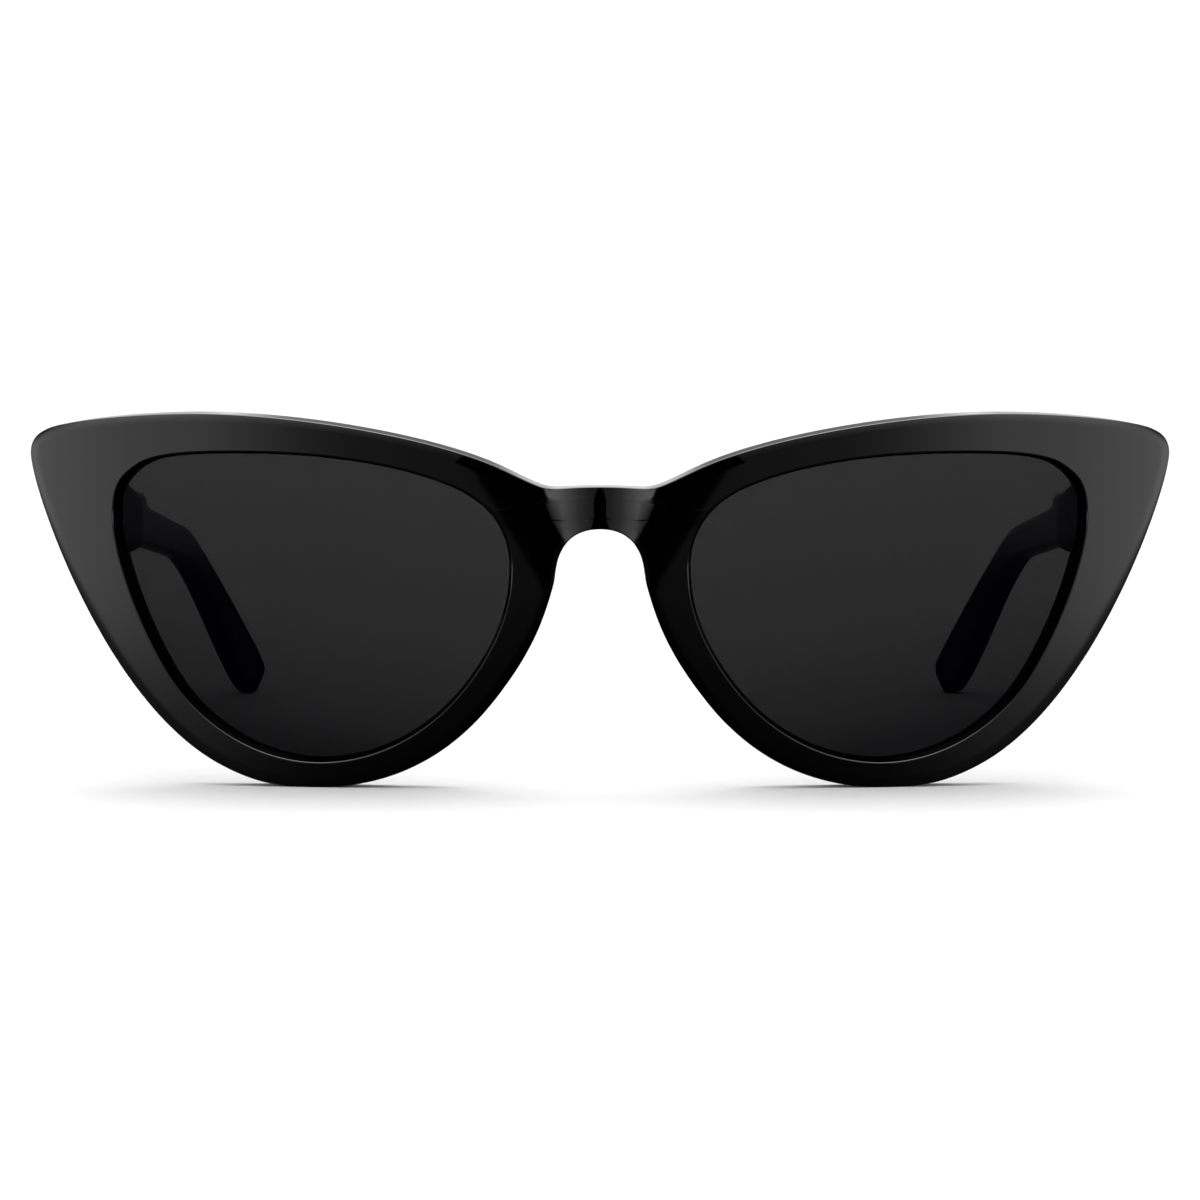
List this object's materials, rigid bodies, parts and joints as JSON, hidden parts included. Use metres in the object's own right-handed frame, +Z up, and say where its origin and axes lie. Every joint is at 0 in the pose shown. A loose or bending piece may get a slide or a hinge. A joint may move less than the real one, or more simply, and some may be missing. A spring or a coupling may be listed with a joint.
{
  "type": "cat eye sunglasses",
  "caption": "Cat eye sunglasses: a thick curved plastic front with swept-up corners, dark tinted lenses, and temples that fold on barrel hinges.",
  "frame": {"origin": "centre of the bounding box's base, on the level surface that the rims and the temple tips stand on, temples open", "axes": "+X to the wearer's left, -Y out through the front, +Y back along the open temples, +Z up"},
  "size_m": [0.1452, 0.1438, 0.0476],
  "materials": {
    "black_acetate": "polished black cellulose acetate",
    "temple_acetate": "polished black cellulose acetate",
    "pad_acetate": "satin black cellulose acetate, cemented on",
    "lens_tint": "dark grey tinted transparent plastic, clear gloss",
    "hinge_metal": "tumbled nickel silver",
    "screw_metal": "turned stainless steel",
    "core_metal": "drawn nickel silver strip"
  },
  "bodies": {
    "front": {"front_frame": "black_acetate", "left_lens": "lens_tint", "left_nose_pad": "pad_acetate", "left_end_block": "black_acetate", "left_front_leaf": "hinge_metal", "left_hinge_screw": "screw_metal", "right_lens": "lens_tint", "right_nose_pad": "pad_acetate", "right_end_block": "black_acetate", "right_front_leaf": "hinge_metal", "right_hinge_screw": "screw_metal"},
    "left_arm": {"left_temple": "temple_acetate", "left_temple_leaf": "hinge_metal", "left_core_wire": "core_metal"},
    "right_arm": {"right_temple": "temple_acetate", "right_temple_leaf": "hinge_metal", "right_core_wire": "core_metal"}
  },
  "joints": [
    {"name": "left_temple_fold", "type": "hinge", "parent": "front", "child": "left_arm", "pos_m": [0.06029, -0.05134, 0.0332], "axis": [0, -0.0352, 0.9994], "range_deg": [0, 91.5]},
    {"name": "right_temple_fold", "type": "hinge", "parent": "front", "child": "right_arm", "pos_m": [-0.06029, -0.05134, 0.0332], "axis": [0, 0.0352, -0.9994], "range_deg": [0, 87]}
  ]
}
